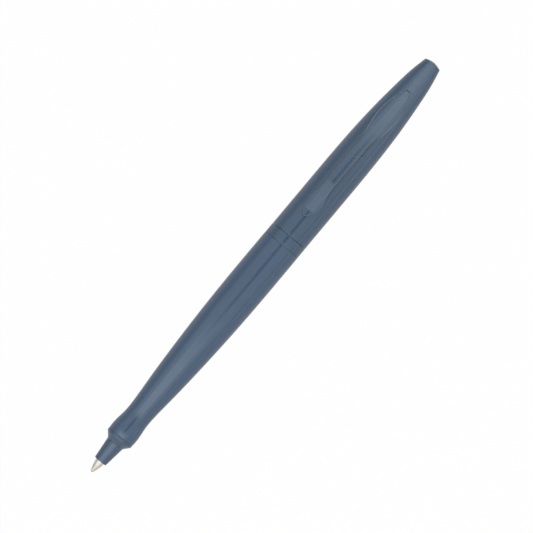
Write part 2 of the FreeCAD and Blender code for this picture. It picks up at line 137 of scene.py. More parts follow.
# Heights above the axis along the clip, and how much its top is crowned across.
CLIP_TOP = [(86.5, 6.03), (89.0, 5.91), (CLIP_BEND, CLIP_HEIGHT)]
CLIP_UNDER = [(86.5, 5.88), (89.4, 5.53), (92.9, 5.53), (CLIP_BEND, CLIP_HEIGHT - CLIP_THICKNESS)]
CLIP_CROWN = [(CLIP_BEND, 0.033), (109.0, 0.033), (CLIP_ROOT, 0.0)]
LEAF_RISE = 0.5

# The rounded brow of the clip, and the parts that each stretch of its section is cut into.
BROW_ROUND = 0.16
BROW_SHARE = 0.4
BROW_PARTS = 6
UNDER_PARTS = 6
SIDE_PARTS = 5
TOP_PARTS = 9

# stem under the clip's leaf
STEM_STATION = 119.0
STEM_HALF_LENGTH = 2.0
STEM_HALF_WIDTH = 1.2
STEM_DEPTH = 3.2
STEM_OVERLAP = 0.3

# recess for the leaf, with its softened lips
RECESS_GAP = 0.05
RECESS_END = CLIP_END + 0.15
RECESS_SEARCH = 0.02
SEAT_GAP = 0.05
LIP_WIDTH = 0.2
LIP_DROP = 0.11
FLOOR_SEGMENTS = 10

# A lip bends at this share of the way from its rim to its edge, after this share of its drop.
LIP_BEND = 0.2
LIP_BEND_DROP = 0.12

# The rings of the bore and of the dome have the recess's points too, at these widths.
BORE_HALF_WIDTH = 1.6
WIDEST_SHARE = 0.6
WIDEST_SINE = 0.9
THINNEST = 0.001

# A painted highlight is 0 where a moulding's colour is plain and 1 where it is painted pale, standing in
# for the light its rounded edges catch.
CLIP_BROW_HIGHLIGHT = 0.5


# curves
def slopes_of(points, level):
    """The slopes of a smooth curve through points, nought at the numbered ones."""
    count = len(points)
    rows = [[0.0] * count for _ in points]
    right = [0.0] * count
    for i in range(count):
        if i in level:
            rows[i][i] = 1.0
            continue
        for a, b in ((i - 1, i), (i, i + 1)):
            if a < 0 or b >= count:
                continue
            gap = points[b][0] - points[a][0]
            rise = points[b][1] - points[a][1]
            rows[i][i] += 2 / gap
            rows[i][a if b == i else b] += 1 / gap
            right[i] += 3 * rise / gap**2
    for i in range(count):
        lead = rows[i][i]
        for j in range(i + 1, count):
            share = rows[j][i] / lead
            for k in range(i, count):
                rows[j][k] -= share * rows[i][k]
            right[j] -= share * right[i]
    slopes = [0.0] * count
    for i in reversed(range(count)):
        known = sum(rows[i][k] * slopes[k] for k in range(i + 1, count))
        slopes[i] = (right[i] - known) / rows[i][i]
    return slopes


def height_on(points, slopes, station):
    """The value of that curve at a station."""
    i = 0
    while i < len(points) - 2 and station > points[i + 1][0]:
        i += 1
    (a, low), (b, high) = points[i], points[i + 1]
    gap = b - a
    t = (station - a) / gap
    return (
        low * (1 + 2 * t) * (1 - t) ** 2
        + high * t * t * (3 - 2 * t)
        + slopes[i] * gap * t * (1 - t) ** 2
        - slopes[i + 1] * gap * t * t * (1 - t)
    )


def steps(start, end, pitch):
    """Evenly spaced stations from start to end, about a pitch apart."""
    count = max(1, math.ceil(abs(end - start) / pitch))
    return [start + (end - start) * i / count for i in range(count + 1)]


def sampled(points, slopes, pitch):
    """Points on a smooth curve from its first point to its last, about a pitch apart."""
    stations = steps(points[0][0], points[-1][0], pitch)
    return [(station, height_on(points, slopes, station)) for station in stations]


def along(corners, station):
    """The value at a station on straight lines between corners."""
    for (a, low), (b, high) in zip(corners, corners[1:]):
        if station <= b:
            return low + (high - low) * (station - a) / (b - a)
    return corners[-1][1]


def between(first, last, share):
    """The point at a share of the straight way between two points."""
    return tuple(a + (b - a) * share for a, b in zip(first, last))


def bowed(first, middle, last, share):
    """The point at a share of a curve between two points that is drawn towards a middle one."""
    rest = 1 - share
    return tuple(
        a * rest**2 + 2 * b * share * rest + c * share * share
        for a, b, c in zip(first, middle, last)
    )


def rounded(corners, radii, parts=5):
    """The corners of an open outline, with an arc in place of each one that has a radius."""
    outline = []
    for i, corner in enumerate(corners):
        radius = radii.get(i, 0)
        if not radius or i in (0, len(corners) - 1):
            outline.append(corner)
            continue
        here, before, after = (Vector(corners[k]) for k in (i, i - 1, i + 1))
        back, on = (before - here).normalized(), (after - here).normalized()
        half = back.angle(on) / 2
        reach = radius / math.tan(half)
        middle = here + (back + on).normalized() * (radius / math.sin(half))
        first, last = here + back * reach - middle, here + on * reach - middle
        whole = first.angle(last)
        for k in range(parts + 1):
            share = k / parts
            arm = first * math.sin((1 - share) * whole) + last * math.sin(share * whole)
            outline.append(tuple(middle + arm / math.sin(whole)))
    return outline


BARREL_SLOPES = slopes_of(BARREL_OUTLINE, (1, 2, 6))
POINT_SLOPES = slopes_of(POINT_OUTLINE, ())
CAP_SLOPES = slopes_of(CAP_OUTLINE, (0,))
DOME_SLOPES = slopes_of(DOME, (0,))


def cap_radius(station):
    """The upper barrel's outer radius at a station."""
    if station <= CAP_OUTLINE[0][0]:
        return CAP_OUTLINE[0][1]
    return height_on(CAP_OUTLINE, CAP_SLOPES, station)


# meshes
def spot(station, across, up):
    """A place on the pen in metres, from its station and its distances from the axis."""
    return (
        (station - OVERALL / 2) / PER_METRE,
        across / PER_METRE,
        (up + AXIS_HEIGHT) / PER_METRE,
    )


def add_piece(name, vertices, faces, body, material, highlight_share=()):
    """A smooth piece that rides on one of the pen's bodies, with each vertex's share of the painted
    highlight.
    """
    mesh = bpy.data.meshes.new(name)
    mesh.from_pydata(vertices, [], faces)
    mesh.update()
    mesh.validate()
    for face in mesh.polygons:
        face.use_smooth = True
    mesh.set_sharp_from_angle(angle=EDGE_ANGLE)
    if highlight_share:
        # The "edge" attribute holds each vertex's share of the pale painted highlight.
        mesh.attributes.new("edge", "FLOAT", "POINT").data.foreach_set("value", highlight_share)
    mesh.materials.append(material)
    piece = bpy.data.objects.new(name, mesh)
    bpy.context.scene.collection.objects.link(piece)
    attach(piece, body)
    return piece


def weld(piece):
    """The piece without doubled vertices, and with its faces looking outward."""
    work = bmesh.new()
    work.from_mesh(piece.data)
    bmesh.ops.remove_doubles(work, verts=work.verts, dist=WELD_METRES)
    bmesh.ops.recalc_face_normals(work, faces=work.faces)
    work.to_mesh(piece.data)
    work.free()
    piece.data.set_sharp_from_angle(angle=EDGE_ANGLE)
    return piece


def faces_between(count, size, closed=True):
    """The faces between a count of rings of one size, and from the last to the first if closed."""
    faces = []
    for i in range(count if closed else count - 1):
        j = (i + 1) % count
        for k in range(size):
            m = (k + 1) % size
            faces.append((i * size + k, i * size + m, j * size + m, j * size + k))
    return faces


def round_spot(station, radius, angle):
    """A place on the pen, from its station, its radius and its angle from the top."""
    return spot(station, radius * math.sin(angle), radius * math.cos(angle))


def turn(name, outline, body, material, segments=SEGMENTS):
    """A piece turned from a closed outline of (station, radius) points."""
    angles = [2 * math.pi * k / segments for k in range(segments)]
    vertices = [round_spot(station, radius, angle) for station, radius in outline for angle in angles]
    return add_piece(name, vertices, faces_between(len(outline), segments), body, material)


def thinner(outline):
    """The outline a skin nearer the axis."""
    return [(station, radius - SKIN) for station, radius in outline]


# the turned pieces that show
def make_lower_barrel(material):
    """The waisted grip and body, hollow, with small rounds at both seams."""
    outer = thinner(sampled(BARREL_OUTLINE, BARREL_SLOPES, BARREL_PITCH))
    rounds = {1: BARREL_FRONT_ROUND, len(outer): BARREL_REAR_ROUND}
    outline = rounded([BARREL_INSIDE[-1]] + outer + BARREL_INSIDE, rounds)[1:]
    return turn("grip_barrel", outline, "barrel", material)


def make_nose_cone(material):
    """The screw-in front end: a straight taper, a hollow foot and a narrow rim."""
    outline = thinner(rounded(NOSE_CORNERS, NOSE_ROUNDS, NOSE_ROUND_PARTS))
    return turn("front_cone", outline, "barrel", material)


def make_centre_band(material):
    """The plain ring between the two barrels."""
    return turn("middle_band", thinner(rounded(BAND_CORNERS, BAND_ROUNDS)), "barrel", material)


def make_writing_tip(material):
    """The metal point, with its ball seat and its shank."""
    outline = sampled(POINT_OUTLINE, POINT_SLOPES, POINT_PITCH) + POINT_SHANK + POINT_INSIDE
    return turn("metal_point", outline, "refill", material, POINT_SEGMENTS)


# the clip
LEAF_TOP = [
    (CLIP_BEND, CLIP_HEIGHT), (CLIP_ROOT, cap_radius(CLIP_ROOT) + LEAF_RISE),
    (CLIP_END + RECESS_GAP, cap_radius(CLIP_END + RECESS_GAP)),
]
LEAF_SLOPES = slopes_of(LEAF_TOP, ())


def clip_top(station):
    """The distance of the clip's upper side from the axis."""
    if station < CLIP_BEND:
        return along(CLIP_TOP, station)
    return min(height_on(LEAF_TOP, LEAF_SLOPES, station), CLIP_HEIGHT)


def clip_under(station):
    """The distance of the clip's underside from the axis."""
    if station < CLIP_BEND:
        return along(CLIP_UNDER, station)
    return clip_top(station) - CLIP_THICKNESS


def height_over(radius, across):
    """The height above the axis of a round surface, at a distance across."""
    return math.sqrt(radius**2 - across**2)


def top_at(station, across):
    """The height of the clip's crowned upper side above the axis."""
    crown = along(CLIP_CROWN, max(station, CLIP_BEND))
    return height_over(clip_top(station), across) - crown * across**2


def under_at(station, across):
    """The height of the clip's underside above the axis."""
    return height_over(clip_under(station), across)


def clip_edge(height):
    """The clip's side at a height above its foot: a curve, its slopes, and its nose's middle and radius."""
    radius = CLIP_TIP_RADIUS - SIDE_LEAN * height
    middle = CLIP_TIP + CLIP_TIP_RADIUS + TIP_LEAN * height
    start = (
        middle - radius * math.sin(CLIP_TIP_ANGLE),
        radius * math.cos(CLIP_TIP_ANGLE),
    )
    leans = [PAD_LEAN] + [SIDE_LEAN] * (len(CLIP_SIDE) - 1)
    points = [start] + [
        (s, w - lean * height) for s, w, lean in zip(CLIP_SIDE, CLIP_HALF_WIDTHS, leans)
    ]
    slopes = slopes_of(points, (0, 1, 2, 3, 4))
    slopes[0] = math.tan(CLIP_TIP_ANGLE)
    return points, slopes, middle, radius


CLIP_FOOT_EDGE = clip_edge(0.0)
CLIP_BROW_EDGE = clip_edge(CLIP_LEAN_HEIGHT)


def clip_edge_spot(number, share, edge):
    """A place on one edge: a share of the round nose for number -1, or of a numbered span."""
    points, slopes, middle, radius = edge
    if number < 0:
        angle = share * (math.pi / 2 - CLIP_TIP_ANGLE)
        return middle - radius * math.cos(angle), radius * math.sin(angle)
    a, b = points[number][0], points[number + 1][0]
    station = a + (b - a) * share
    return station, height_on(points, slopes, station)


def clip_rings():
    """The numbered spans of the clip's outline, cut finely where it bends."""
    rings = [(-1, i / CLIP_TIP_PARTS) for i in range(CLIP_TIP_PARTS)]
    for number, parts in enumerate(CLIP_SPAN_PARTS):
        rings += [(number, i / parts) for i in range(parts)]
    return rings + [(len(CLIP_SPAN_PARTS) - 1, 1.0)]


def leaning_spot(number, share, height):
    """A place on the clip's leaning side at a height above its foot."""
    low = clip_edge_spot(number, share, CLIP_FOOT_EDGE)
    if height <= 0:
        return low
    high = clip_edge_spot(number, share, CLIP_BROW_EDGE)
    return between(low, high, height / CLIP_LEAN_HEIGHT)


def side_meets(number, share, surface, rounds=30):
    """Where the leaning side meets the upper side or the underside, as (station, across, up)."""
    height = 0.5
    for _ in range(rounds):
        station, across = leaning_spot(number, share, height)
        up = surface(station, across)
        height = 0.5 * height + 0.5 * (up - CLIP_FOOT)
    return station, across, up


def clip_half_ring(number, share):
    """Half of the clip's section, from the middle of its underside to the middle of its top."""
    foot = side_meets(number, share, under_at)
    brow = side_meets(number, share, top_at)
    reach = min(BROW_ROUND, BROW_SHARE * brow[1], BROW_SHARE * (brow[2] - foot[2]))
    height = brow[2] - reach
    wall = (*leaning_spot(number, share, height - CLIP_FOOT), height)
    inward = brow[1] - reach
    shelf = (brow[0], inward, top_at(brow[0], inward))
    half = []
    for i in range(UNDER_PARTS):
        across = foot[1] * i / UNDER_PARTS
        half.append((foot[0], across, under_at(foot[0], across), 0.0))
    half += [(*between(foot, wall, i / SIDE_PARTS), 0.0) for i in range(SIDE_PARTS)]
    # The brow's rounded edge gets the pale painted highlight.
    half += [(*bowed(wall, brow, shelf, i / BROW_PARTS), CLIP_BROW_HIGHLIGHT) for i in range(BROW_PARTS)]
    for i in range(TOP_PARTS + 1):
        across = inward * (1 - i / TOP_PARTS)
        half.append((brow[0], across, top_at(brow[0], across), 0.0))
    return half


def stem_box(first):
    """The leg under the leaf, as vertices and faces that follow a number of others."""
    foot = cap_radius(STEM_STATION) - CLIP_THICKNESS
    x, y = STEM_HALF_LENGTH, STEM_HALF_WIDTH
    vertices = [
        spot(STEM_STATION + dx, dy, up)
        for up in (foot - STEM_DEPTH, foot + STEM_OVERLAP)
        for dx, dy in ((-x, -y), (x, -y), (x, y), (-x, y))
    ]
    faces = [(0, 3, 2, 1), (4, 5, 6, 7)]
    faces += [(i, (i + 1) % 4, (i + 1) % 4 + 4, i + 4) for i in range(4)]
    return vertices, [tuple(first + i for i in face) for face in faces]


def make_clip(material):
    """The sprung clip: a lozenge pad, a narrow arm and a leaf that ends bluntly."""
    vertices, highlight_share = [], []
    rings = clip_rings()
    for number, share in rings:
        half = clip_half_ring(number, share)
        ring = half + [(s, -across, up, highlight) for s, across, up, highlight in half[-2:0:-1]]
        vertices += [spot(s, across, up - SKIN) for s, across, up, _ in ring]
        highlight_share += [highlight for *_, highlight in ring]
    size = len(vertices) // len(rings)
    faces = faces_between(len(rings), size, closed=False)
    faces.append(tuple(range(len(vertices) - size, len(vertices))))
    more, stem = stem_box(len(vertices))
    highlight_share += [0.0] * len(more)
    return weld(add_piece("pocket_clip", vertices + more, faces + stem, "cap", material, highlight_share))


# the upper barrel
def recess_half_width(station):
    """Half the width of the clip's recess, measured across the upper barrel."""
    points, slopes, _, _ = CLIP_FOOT_EDGE
    held = min(max(station, CLIP_SIDE[1]), CLIP_END)
    return height_on(points, slopes, held) + RECESS_GAP


def recess_start():
    """The station at which the floor of the recess comes out at the surface."""
    stations = steps(CLIP_BEND, CLIP_ROOT, RECESS_SEARCH)
    return next(s for s in stations if clip_under(s) - SEAT_GAP < cap_radius(s))


def cap_skin(stations):
    """Points on the upper barrel's outside at some stations."""
    return [(station, cap_radius(station)) for station in stations]


def cap_outline():
    """The outer outline, and the numbers of its first and last points in the recess."""
    front = cap_skin([CAP_FRONT] + steps(EVEN_START, EVEN_END, EVEN_PITCH))
    skin = rounded([(CAP_FRONT, CAP_BORE)] + front, {1: CAP_FRONT_ROUND})[1:]
    start = recess_start()
    skin += cap_skin(steps(TAPER_START, start, TAPER_PITCH))
    first = len(skin) - 1
    skin += cap_skin(steps(start, RECESS_END, RECESS_PITCH)[1:])
    last = len(skin) - 1
    tail = cap_skin(steps(RECESS_END, CAP_END, TAIL_PITCH))
    radii = steps(DOME[-1][0], SMALLEST_RADIUS, DOME_PITCH)[1:]
    lid = [(height_on(DOME, DOME_SLOPES, radius), radius) for radius in radii]
    skin += rounded(tail + lid, {len(tail) - 1: CAP_END_ROUND})
    return skin, first, last


def cap_ring(radius, half, floor):
    """A ring with a slot at its top, as (angle, radius, share of painted highlight on the lips)."""
    edge = math.asin(half / radius)
    rim = math.asin(min((half + LIP_WIDTH) / radius, WIDEST_SINE))
    lip = (1 - LIP_BEND) * rim + LIP_BEND * edge
    drop = min(LIP_DROP, radius - floor)
    # The lips get the pale painted highlight, more where they drop deeper.
    highlight = drop / LIP_DROP
    around = [rim + 2 * (math.pi - rim) * k / CAP_SEGMENTS for k in range(CAP_SEGMENTS + 1)]
    across = [edge * (2 * k / FLOOR_SEGMENTS - 1) for k in range(FLOOR_SEGMENTS + 1)]
    ring = [(angle, radius, 0.0) for angle in around]
    ring += [(-lip, radius - LIP_BEND_DROP * drop, highlight), (-edge, radius - drop, highlight)]
    ring += [(angle, floor, 0.0) for angle in across]
    ring += [(edge, radius - drop, highlight), (lip, radius - LIP_BEND_DROP * drop, highlight)]
    return ring


def make_upper_barrel(material):
    """The turning half: a long ogive with a low dome, and the recess for the clip's leaf."""
    skin, first, last = cap_outline()
    vertices, highlight_share = [], []
    for i, (station, outer) in enumerate(skin + CAP_HOLLOW):
        radius = max(outer - SKIN, THINNEST)
        half = recess_half_width(station) if i < len(skin) else BORE_HALF_WIDTH
        half = min(half, WIDEST_SHARE * radius)
        floor = radius
        if first <= i <= last:
            floor = min(radius, clip_under(station) - SEAT_GAP - SKIN)
        ring = cap_ring(radius, half, floor)
        vertices += [round_spot(station, r, angle) for angle, r, _ in ring]
        highlight_share += [highlight for *_, highlight in ring]
    faces = faces_between(len(vertices) // len(ring), len(ring))
    return weld(add_piece("turning_barrel", vertices, faces, "cap", material, highlight_share))


# nodes
def new_node(tree, kind, values=(), **settings):
    """A node with its settings, and a value or a link for each named or numbered socket."""
    node = tree.nodes.new(kind)
    for name, value in settings.items():
        setattr(node, name, value)
    for socket, value in dict(values).items():
        if isinstance(value, bpy.types.NodeSocket):
            tree.links.new(value, node.inputs[socket])
        else:
            node.inputs[socket].default_value = value
    return node


def maths(tree, operation, first, second):
    """A Math node on two values or sockets, as its output."""
    return new_node(tree, "ShaderNodeMath", {0: first, 1: second}, operation=operation).outputs[0]


def add_noise(tree, values, **settings):
    """A noise from 0 to 1, as an output."""
    return new_node(tree, "ShaderNodeTexNoise", values, **settings).outputs["Fac"]


def new_group(name, inputs, outputs):
    """A node group, with its inputs to read, its outputs to fill and the place on the piece."""
    group = bpy.data.node_groups.new(name, "ShaderNodeTree")
    for socket, value in inputs.items():
        made = group.interface.new_socket(socket, in_out="INPUT", socket_type="NodeSocketFloat")
        made.default_value = value
    for socket in outputs:
        group.interface.new_socket(socket, in_out="OUTPUT", socket_type="NodeSocketFloat")
    enter = group.nodes.new("NodeGroupInput").outputs
    leave = group.nodes.new("NodeGroupOutput").inputs
    place = group.nodes.new("ShaderNodeTexCoord").outputs["Object"]
    return group, enter, leave, place


# shared surface effects
# Each direction of the scratches has an angle in radians and a stretch.
HAZE_SCALE = 900.0
GRAIN_SHARE = 0.25
SCRATCH_SCALE = 160.0
SCRATCH_WIDTH = 0.006
SCRATCH_TILT = (0.2, 0.3)
SCRATCH_DIRECTIONS = [(0.5, 22.0), (-0.9, 30.0)]
SCRATCH_PATCHES = 260.0
# These three set the uneven patches of the pale painted highlight on edges.
HIGHLIGHT_PATCHES = 1500.0
HIGHLIGHT_UNEVEN = 0.4
HIGHLIGHT_LEAST = 0.8


def moulded_skin_group():
    """The faint waviness, mould grain and haze of a polished moulding."""
    group, enter, leave, place = new_group(
        "moulded skin", {"Grain Scale": 6.0, "Wave Scale": 0.3}, ["Height", "Haze", "Tone"]
    )
    fine, broad = (
        maths(group, "MULTIPLY", enter[socket], PER_METRE) for socket in ("Grain Scale", "Wave Scale")
    )
    grain = add_noise(group, {"Vector": place, "Scale": fine, "Detail": 3.0, "Roughness": 0.55})
    wave = add_noise(group, {"Vector": place, "Scale": broad, "Detail": 1.0})
    haze = add_noise(group, {"Vector": place, "Scale": HAZE_SCALE, "Detail": 4.0})
    faint = maths(group, "MULTIPLY", grain, GRAIN_SHARE)
    group.links.new(maths(group, "ADD", faint, wave), leave["Height"])
    group.links.new(haze, leave["Haze"])
    group.links.new(wave, leave["Tone"])
    return group


def hairline_group():
    """Short fine scratches from handling, in two directions."""
    group, enter, leave, place = new_group("hairlines", {"Density": 0.5}, ["Mask"])
    masks = []
    for angle, stretch in SCRATCH_DIRECTIONS:
        across = SCRATCH_SCALE * stretch
        values = {
            "Vector": place,
            "Rotation": (*SCRATCH_TILT, angle),
            "Scale": (SCRATCH_SCALE, across, across),
        }
        turned = new_node(group, "ShaderNodeMapping", values).outputs["Vector"]
        field = add_noise(group, {"Vector": turned, "Scale": 1.0, "Detail": 2.0})
        distance = maths(group, "ABSOLUTE", maths(group, "SUBTRACT", field, 0.5), 0.0)
        masks.append(maths(group, "LESS_THAN", distance, SCRATCH_WIDTH))
    both = maths(group, "MAXIMUM", *masks)
    patch = add_noise(group, {"Vector": place, "Scale": SCRATCH_PATCHES, "Detail": 1.0})
    some = maths(group, "GREATER_THAN", enter["Density"], patch)
    group.links.new(maths(group, "MULTIPLY", both, some), leave["Mask"])
    return group


def edge_highlight_group():
    """A pale painted highlight on a moulding's rounded edges, in uneven patches."""
    group, enter, leave, place = new_group("painted edge highlight", {"Amount": 1.0}, ["Mask"])
    # The "edge" attribute is each vertex's share of the painted highlight.
    edge = new_node(group, "ShaderNodeAttribute", attribute_name="edge").outputs["Fac"]
    patch = add_noise(group, {"Vector": place, "Scale": HIGHLIGHT_PATCHES, "Detail": 2.0})
    uneven = maths(group, "ADD", maths(group, "MULTIPLY", patch, HIGHLIGHT_UNEVEN), HIGHLIGHT_LEAST)
    highlit_edge = maths(group, "MULTIPLY", edge, uneven)
    group.links.new(maths(group, "MULTIPLY", highlit_edge, enter["Amount"]), leave["Mask"])
    return group


def turning_group():
    """The fine rings that a lathe leaves round the pen's axis."""
    group, enter, leave, place = new_group(
        "turning rings", {"Rings Per Millimetre": 12.0}, ["Height"]
    )
    station = new_node(group, "ShaderNodeSeparateXYZ", {0: place}).outputs["X"]
    pitch = maths(group, "MULTIPLY", enter["Rings Per Millimetre"], PER_METRE)
    turns = maths(group, "MULTIPLY", station, pitch)
    rings = add_noise(group, {"W": turns, "Scale": 1.0, "Detail": 3.0}, noise_dimensions="1D")
    group.links.new(rings, leave["Height"])
    return group


MOULDED_SKIN = moulded_skin_group()
HAIRLINES = hairline_group()
EDGE_HIGHLIGHT = edge_highlight_group()
TURNING_RINGS = turning_group()


# parts of a finish
# A noise keeps mostly between these values, so a look goes from one end to the other there.
NOISE_LOW = 0.3
NOISE_HIGH = 0.7


def new_material(name):
    """A material with its tree, its shader and nothing else."""
    material = bpy.data.materials.new(name)
    material.use_nodes = True
    tree = material.node_tree
    return material, tree, tree.nodes["Principled BSDF"]


def add_group(tree, group, **values):
    """The outputs of a placed group with its own values."""
    node = new_node(tree, "ShaderNodeGroup", node_tree=group)
    for socket, value in values.items():
        node.inputs[socket.replace("_", " ")].default_value = value
    return node.outputs


def mix_colours(tree, factor, first, second):
    """A colour between two, each a colour or a socket, by a factor socket."""
    # The colours of a Mix node are its inputs 6 and 7 and its output 2.
    values = {0: factor}
    for number, colour in ((6, first), (7, second)):
        values[number] = (*colour, 1) if isinstance(colour, tuple) else colour
    return new_node(tree, "ShaderNodeMix", values, data_type="RGBA").outputs[2]


def range_of(tree, noise, low, high):
    """A value that goes from low to high with a noise."""
    ends = {"From Min": NOISE_LOW, "From Max": NOISE_HIGH, "To Min": low, "To Max": high}
    return new_node(tree, "ShaderNodeMapRange", {"Value": noise, **ends}).outputs["Result"]


def toned(tree, noise, light, dark):
    """A colour that goes from dark to light with a noise."""
    return mix_colours(tree, range_of(tree, noise, 0, 1), dark, light)


def scratched(tree, roughness, density, depth):
    """A roughness with hairlines on it."""
    mask = add_group(tree, HAIRLINES, Density=density)["Mask"]
    return maths(tree, "ADD", roughness, maths(tree, "MULTIPLY", mask, depth))


def coat(tree, shader, colour, roughness, height, depth):
    """Gives the shader its colour, roughness and bump, with the bump's depth in metres."""
    bump = new_node(tree, "ShaderNodeBump", {"Distance": depth, "Strength": 1.0, "Height": height})
    tree.links.new(colour, shader.inputs["Base Color"])
    tree.links.new(roughness, shader.inputs["Roughness"])
    tree.links.new(bump.outputs["Normal"], shader.inputs["Normal"])


# finishes
# Each hairline pair has the density of the scratches and how much rougher they are.
# The pale slate is a painted highlight along the clip's brow and the recess lips.
LIP_HIGHLIGHT_SLATE = (0.105, 0.140, 0.175)
GLOSS_TINT = (0.84, 0.93, 1.0, 1)
GLOSS_ROUGHNESS = (0.13, 0.19)
GLOSS_HAIRLINES = (0.42, 0.10)
COMMON_HAIRLINES = (0.5, 0.08)
METAL_SPREAD = 0.1
PLASTIC_SPREAD = 0.12
PASTE_SPREAD = 0.2

# in metres
GLOSS_BUMP = 1.2e-6
METAL_BUMP = 1.5e-6
PLASTIC_BUMP = 3e-6
PASTE_BUMP = 1e-5
MILKY_DEPTH = 0.001


def slate_plastic(name, light, dark):
    """Slate-blue moulded plastic with a clear gloss, and pale painted highlights along its edges."""
    material, tree, shader = new_material(name)
    skin = add_group(tree, MOULDED_SKIN, Grain_Scale=5.0, Wave_Scale=0.25)
    # The mask mixes in the pale painted highlight on the edges.
    highlight = add_group(tree, EDGE_HIGHLIGHT, Amount=1.0)["Mask"]
    colour = mix_colours(tree, highlight, toned(tree, skin["Tone"], light, dark), LIP_HIGHLIGHT_SLATE)
    roughness = scratched(tree, range_of(tree, skin["Haze"], *GLOSS_ROUGHNESS), *GLOSS_HAIRLINES)
    coat(tree, shader, colour, roughness, skin["Height"], GLOSS_BUMP)
    shader.inputs["Specular IOR Level"].default_value = 0.85
    shader.inputs["Specular Tint"].default_value = GLOSS_TINT
    return material


def turned_metal(name, light, dark, rough, rings):
    """A turned metal with fine rings round it."""
    material, tree, shader = new_material(name)
    marks = add_group(tree, TURNING_RINGS, Rings_Per_Millimetre=rings)["Height"]
    smooth = range_of(tree, marks, rough, rough + METAL_SPREAD)
    roughness = scratched(tree, smooth, *COMMON_HAIRLINES)
    coat(tree, shader, toned(tree, marks, light, dark), roughness, marks, METAL_BUMP)
    shader.inputs["Metallic"].default_value = 1.0
    return material


def plain_plastic(name, light, dark, rough, clear=0.0):
    """An unpolished moulding of a hidden part."""
    material, tree, shader = new_material(name)
    skin = add_group(tree, MOULDED_SKIN, Grain_Scale=9.0, Wave_Scale=0.4)
    smooth = range_of(tree, skin["Haze"], rough, rough + PLASTIC_SPREAD)
    roughness = scratched(tree, smooth, *COMMON_HAIRLINES)
    coat(tree, shader, toned(tree, skin["Tone"], light, dark), roughness, skin["Height"], PLASTIC_BUMP)
    shader.inputs["Subsurface Weight"].default_value = clear
    shader.inputs["Subsurface Scale"].default_value = MILKY_DEPTH
    return material


def ink_paste(name, light, dark, rough):
    """A soft paste with small voids."""
    material, tree, shader = new_material(name)
    skin = add_group(tree, MOULDED_SKIN, Grain_Scale=3.0, Wave_Scale=0.8)
    roughness = range_of(tree, skin["Haze"], rough, rough + PASTE_SPREAD)
    coat(tree, shader, toned(tree, skin["Tone"], light, dark), roughness, skin["Height"], PASTE_BUMP)
    return material


SLATE = slate_plastic("slate plastic", (0.043, 0.079, 0.136), (0.040, 0.075, 0.130))
BARREL_SLATE = slate_plastic("bluer slate plastic", (0.045, 0.084, 0.149), (0.042, 0.080, 0.142))
POINT_METAL = turned_metal("nickel silver", (0.78, 0.735, 0.665), (0.70, 0.66, 0.595), 0.38, 10.0)
BALL_METAL = turned_metal("polished carbide", (0.42, 0.42, 0.43), (0.34, 0.34, 0.35), 0.12, 30.0)
SPRING_STEEL = turned_metal("spring steel", (0.58, 0.58, 0.59), (0.45, 0.45, 0.46), 0.22, 4.0)
HIDDEN = {
    "clip_lock": plain_plastic("black plastic", (0.035, 0.035, 0.04), (0.028, 0.028, 0.032), 0.42),
    "guide_tube": plain_plastic(
        "dark grey acetal", (0.045, 0.047, 0.051), (0.036, 0.038, 0.042), 0.38
    ),
    "cam_sleeve": plain_plastic("black acetal", (0.05, 0.05, 0.055), (0.04, 0.04, 0.045), 0.36),
    "plunger": plain_plastic("red acetal", (0.36, 0.022, 0.02), (0.30, 0.018, 0.018), 0.36),
    "refill_tube": plain_plastic("milky tube", (0.78, 0.78, 0.74), (0.72, 0.72, 0.69), 0.30, 0.3),
    "tail_plug": plain_plastic("milky plug", (0.78, 0.78, 0.74), (0.70, 0.70, 0.67), 0.36, 0.2),
    "tip_holder": plain_plastic("milky holder", (0.78, 0.78, 0.74), (0.70, 0.70, 0.67), 0.34, 0.2),
    "ink_column": ink_paste("dark ink", (0.006, 0.009, 0.04), (0.003, 0.005, 0.025), 0.25),
    "ink_follower": ink_paste("clear grease", (0.62, 0.58, 0.42), (0.55, 0.50, 0.36), 0.2),
    "retaining_ring": SPRING_STEEL,
    "return_spring": SPRING_STEEL,
    "writing_ball": BALL_METAL,
}


# table, in metres
# The camera sees nearly all of its white glow and reflections show a share of it, while the
# light that falls on the pen from below comes off the plain grey.
TABLE_SIZE = 6.0
TABLE_GREY = 0.63
SEEN_WHITE = 0.98
MIRRORED_WHITE = 0.19


def make_table():
    """A wide white table whose shadows stay, and which reads as plain white."""
    bpy.ops.mesh.primitive_plane_add(size=TABLE_SIZE, location=(0, 0, 0))
    table = bpy.context.object
    table.name = "table"
    material = bpy.data.materials.new("white table")
    material.use_nodes = True
    tree = material.node_tree
    tree.nodes.clear()
    grey = (TABLE_GREY, TABLE_GREY, TABLE_GREY, 1)
    white = new_node(tree, "ShaderNodeEmission", {"Color": (1, 1, 1, 1), "Strength": 1.0})
    matt = new_node(tree, "ShaderNodeBsdfDiffuse", {"Color": grey})
    path = tree.nodes.new("ShaderNodeLightPath").outputs
    mirrored = maths(tree, "MAXIMUM", path["Is Glossy Ray"], path["Is Transmission Ray"])
    shown = maths(tree, "MULTIPLY", path["Is Camera Ray"], SEEN_WHITE)
    share = maths(tree, "MAXIMUM", shown, maths(tree, "MULTIPLY", mirrored, MIRRORED_WHITE))
    mix = new_node(
        tree, "ShaderNodeMixShader", {0: share, 1: matt.outputs[0], 2: white.outputs[0]}
    )
    new_node(tree, "ShaderNodeOutputMaterial", {0: mix.outputs[0]})
    table.data.materials.append(material)


# light, in metres
# The ceiling is a wide sheet of soft light, with a dark opening round the camera.
# Lamps that overlap hang at separate heights.
LEVEL = 0.79
CEILING = 0.80
WIDE_LOW, WIDE_HIGH = (-1.6, -1.7), (1.6, 1.1)
OPEN_LOW, OPEN_HIGH = (-0.070, -0.156), (0.225, 0.034)
FACING_FAR = (math.radians(90), 0, 0)
FACING_NEAR = (math.radians(-90), 0, 0)
FACING_TOP_END = (0, math.radians(-90), 0)
FACING_DOWN = (0, 0, 0)
ROOM_GREY = 0.10

